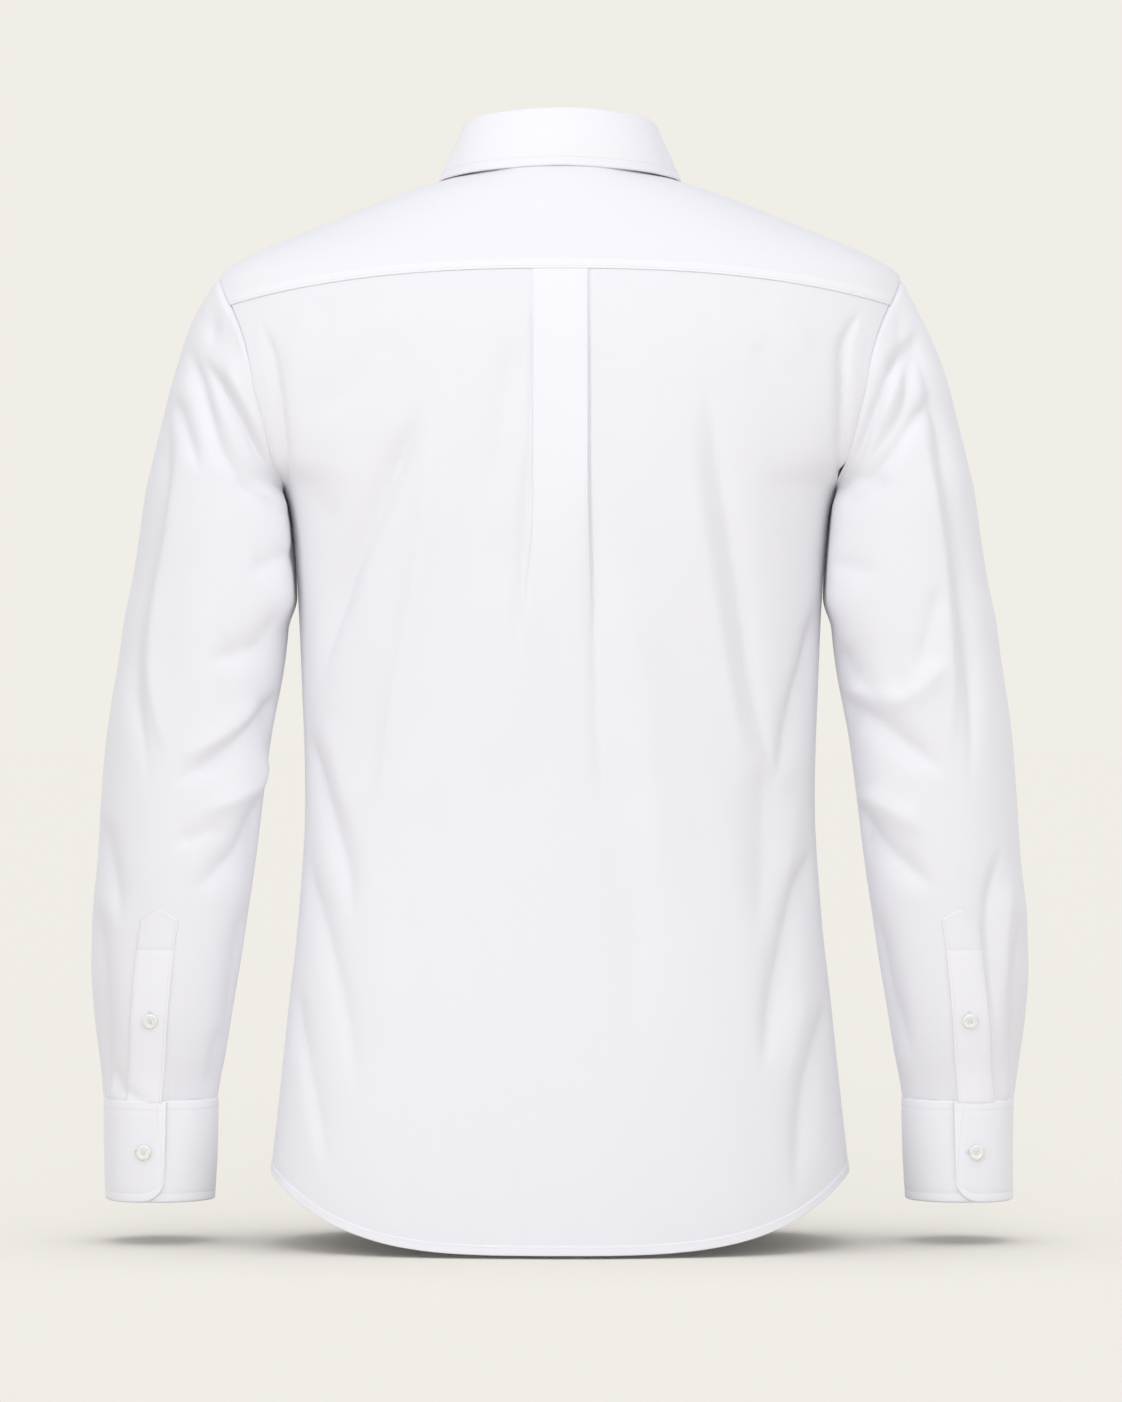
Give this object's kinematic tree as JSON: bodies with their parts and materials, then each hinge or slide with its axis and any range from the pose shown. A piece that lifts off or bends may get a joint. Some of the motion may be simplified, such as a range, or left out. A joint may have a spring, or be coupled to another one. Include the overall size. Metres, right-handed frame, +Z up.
{
  "type": "long sleeve dress shirt",
  "caption": "Buttoned long sleeve dress shirt, filled out as worn: folded collar, yoke, box pleat in the back, curved hem, and sleeves with gauntlets and buttoned cuffs.",
  "frame": {"origin": "centre of the neck opening, level with the neck ends of the shoulders, where the wearer's neck and shoulders hold the shirt up", "axes": "+Z up, -Y towards the front of the shirt, +X towards the wearer's left"},
  "size_m": [0.6788, 0.2478, 0.8137],
  "materials": {
    "shirting": "matt, fine plain weave",
    "buttons": "polished, pearly"
  },
  "bodies": {
    "root": {"back_panel": "shirting", "yoke": "shirting", "left_front": "shirting", "right_front": "shirting", "front_band": "shirting", "collar_stand": "shirting", "collar_fall": "shirting", "left_sleeve": "shirting", "right_sleeve": "shirting", "left_gauntlet": "shirting", "right_gauntlet": "shirting", "left_cuff": "shirting", "right_cuff": "shirting", "button_front_1": "buttons", "button_front_2": "buttons", "button_front_3": "buttons", "button_front_4": "buttons", "button_front_5": "buttons", "button_front_6": "buttons", "button_front_7": "buttons", "button_collar": "buttons", "button_left_cuff": "buttons", "button_left_gauntlet": "buttons", "button_right_cuff": "buttons", "button_right_gauntlet": "buttons"}
  },
  "joints": []
}
